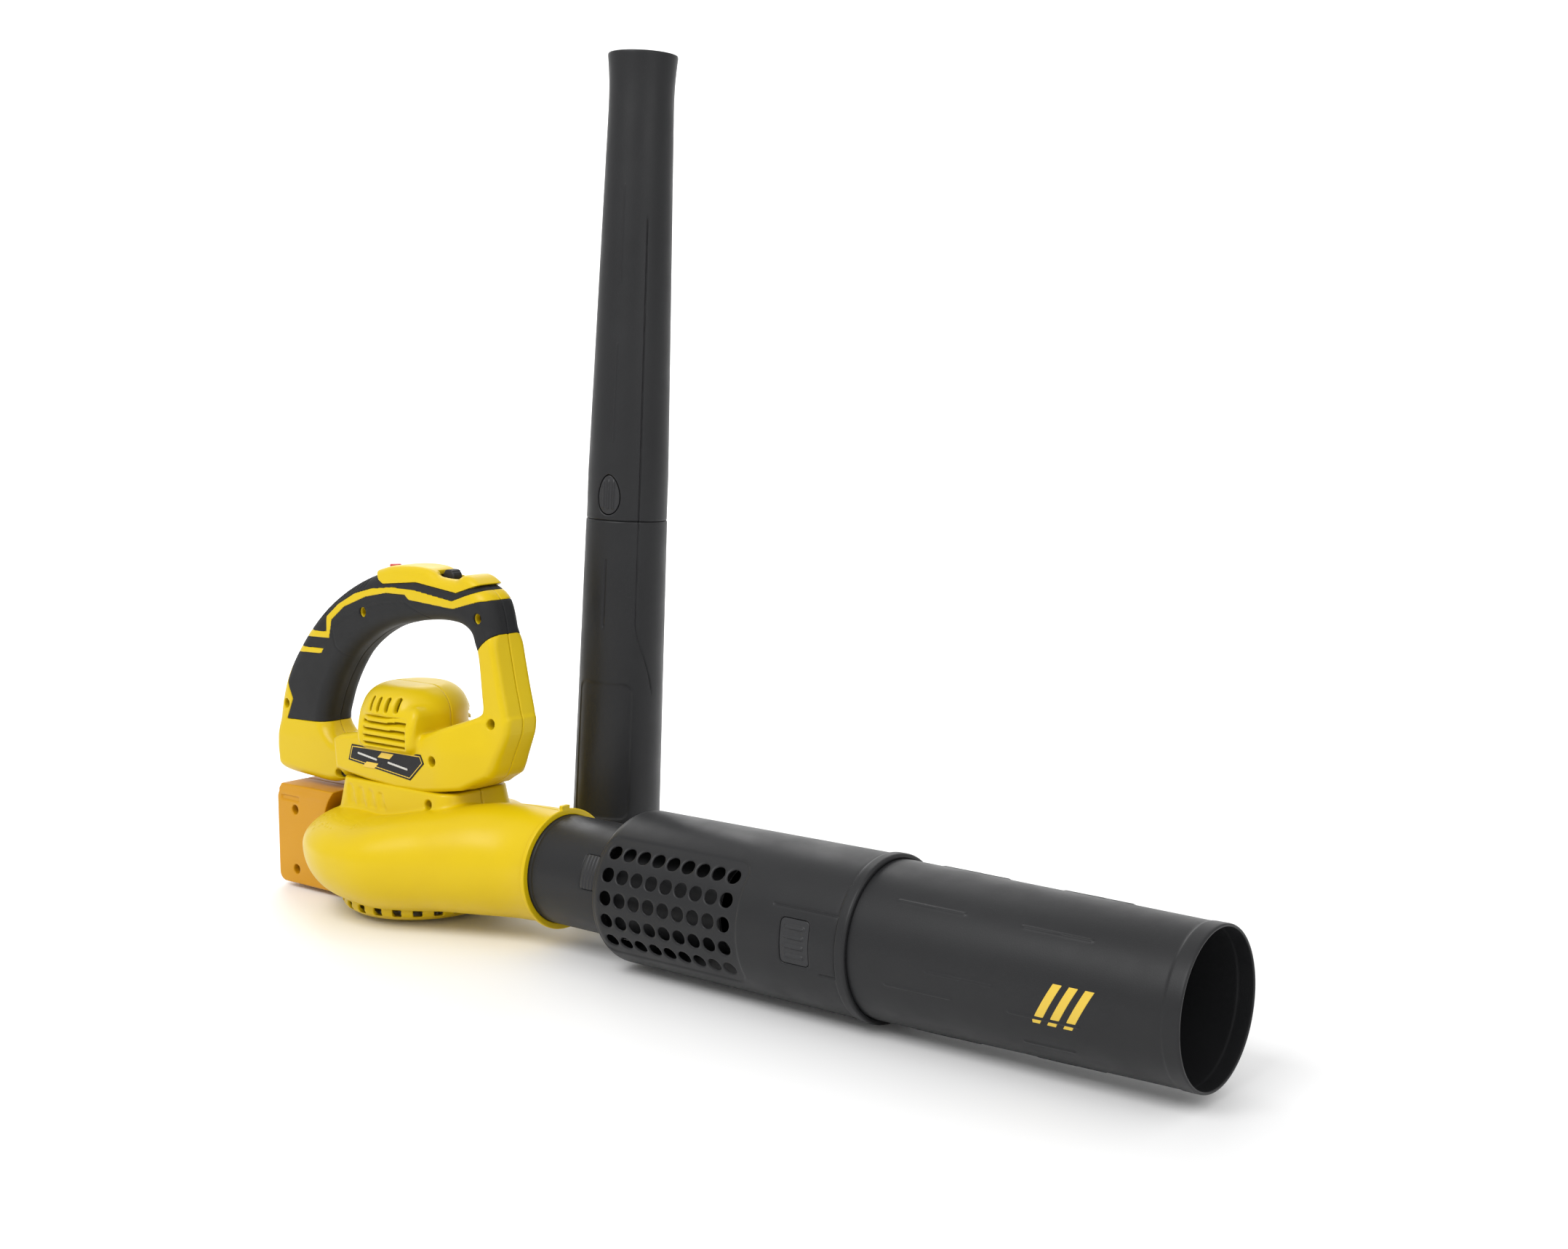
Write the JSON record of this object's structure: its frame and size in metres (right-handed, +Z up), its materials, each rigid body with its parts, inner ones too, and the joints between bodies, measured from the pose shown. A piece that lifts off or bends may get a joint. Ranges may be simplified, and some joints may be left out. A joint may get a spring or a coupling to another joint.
{
  "type": "cordless leaf blower",
  "caption": "Hand-held cordless leaf blower with D handle, round fan scroll, perforated venturi tube and a loose slim concentrator tube.",
  "frame": {"origin": "on the floor under the fan axis, at the middle of the intake dish's flat foot", "axes": "+X the way the air leaves the outlet, +Z up along the fan axis, +Y to the tool's right-hand side away from the release latches"},
  "size_m": [0.949, 0.2523, 0.7403],
  "materials": {
    "yellow_housing": "fine moulded texture",
    "soft_grip": "soft matt overmould",
    "orange_housing": "fine moulded texture",
    "black_tube": "satin blow moulding",
    "black_control": "satin",
    "red_button": "gloss",
    "steel": "bright",
    "dark_screw": "black oxide",
    "black_moulding": "satin",
    "circuit_board": "solder mask",
    "contact_metal": "plated",
    "label": "printed film"
  },
  "bodies": {
    "tool": {"scroll_left": "yellow_housing", "scroll_right": "yellow_housing", "housing_left": "yellow_housing", "housing_right": "yellow_housing", "grip_left": "soft_grip", "grip_right": "soft_grip", "control_pod": "yellow_housing", "boost_spring": "steel", "switch_module": "black_moulding", "intake_dish": "yellow_housing", "motor_can": "steel", "motor_cap": "black_moulding", "bearings": "steel", "motor_plate": "steel", "controller_board": "circuit_board", "receptacle_left": "orange_housing", "receptacle_right": "orange_housing", "terminal_block": "black_moulding", "contact_blades": "contact_metal", "screws": "dark_screw", "outlet_flange": "yellow_housing", "label_plates": "label"},
    "fan": {"impeller": "black_moulding", "rotor_shaft": "steel", "rotor_core": "steel"},
    "slider": {"speed_slider": "black_control"},
    "button": {"boost_button": "red_button"},
    "wide_tube": {"neck_tube": "black_tube", "venturi_shell": "black_tube"},
    "neck_latch": {"neck_latch": "black_control"},
    "wide_latch": {"wide_latch": "black_control"},
    "front_tube": {"front_tube": "black_tube", "wide_latch_spring": "steel"},
    "narrow_lower": {"narrow_lower": "black_tube", "narrow_latch_spring": "steel"},
    "narrow_upper": {"narrow_upper": "black_tube"},
    "narrow_latch": {"narrow_latch": "black_control"}
  },
  "joints": [
    {"name": "fan_spin", "type": "hinge", "parent": "tool", "child": "fan", "pos_m": [0, 0, 0.1], "axis": [0, 0, 1], "continuous": true},
    {"name": "speed_slide", "type": "slide", "parent": "tool", "child": "slider", "axis": [1, 0, 0], "range_m": [0, 0.008]},
    {"name": "boost_press", "type": "slide", "parent": "tool", "child": "button", "axis": [0, 0, -1], "range_m": [0, 0.0015], "stiffness_N_per_m": 800, "springref_m": -0.0005, "deforming": ["boost_spring"]},
    {"name": "wide_tube_pull", "type": "slide", "parent": "tool", "child": "wide_tube", "axis": [1, 0, 0], "range_m": [0, 0.08]},
    {"name": "neck_latch_press", "type": "slide", "parent": "wide_tube", "child": "neck_latch", "axis": [0, 0.9336, -0.3584], "range_m": [0, 0.0012], "stiffness_N_per_m": 1500, "springref_m": -0.0005},
    {"name": "wide_latch_press", "type": "slide", "parent": "wide_tube", "child": "wide_latch", "axis": [0, 0.9986, -0.0523], "range_m": [0, 0.0012], "stiffness_N_per_m": 1500, "springref_m": -0.0005},
    {"name": "front_tube_pull", "type": "slide", "parent": "wide_tube", "child": "front_tube", "axis": [1, 0, 0], "range_m": [0, 0.12]},
    {"name": "narrow_lift", "type": "slide", "parent": "tool", "child": "narrow_lower", "axis": [0.0356, 0.0282, 0.999], "range_m": [0, 0.35]},
    {"name": "narrow_upper_pull", "type": "slide", "parent": "narrow_lower", "child": "narrow_upper", "axis": [0.0356, 0.0282, 0.999], "range_m": [0, 0.1]},
    {"name": "narrow_latch_press", "type": "slide", "parent": "narrow_upper", "child": "narrow_latch", "axis": [-0.2423, 0.97, -0.0187], "range_m": [0, 0.0012], "stiffness_N_per_m": 1500, "springref_m": -0.0005}
  ]
}
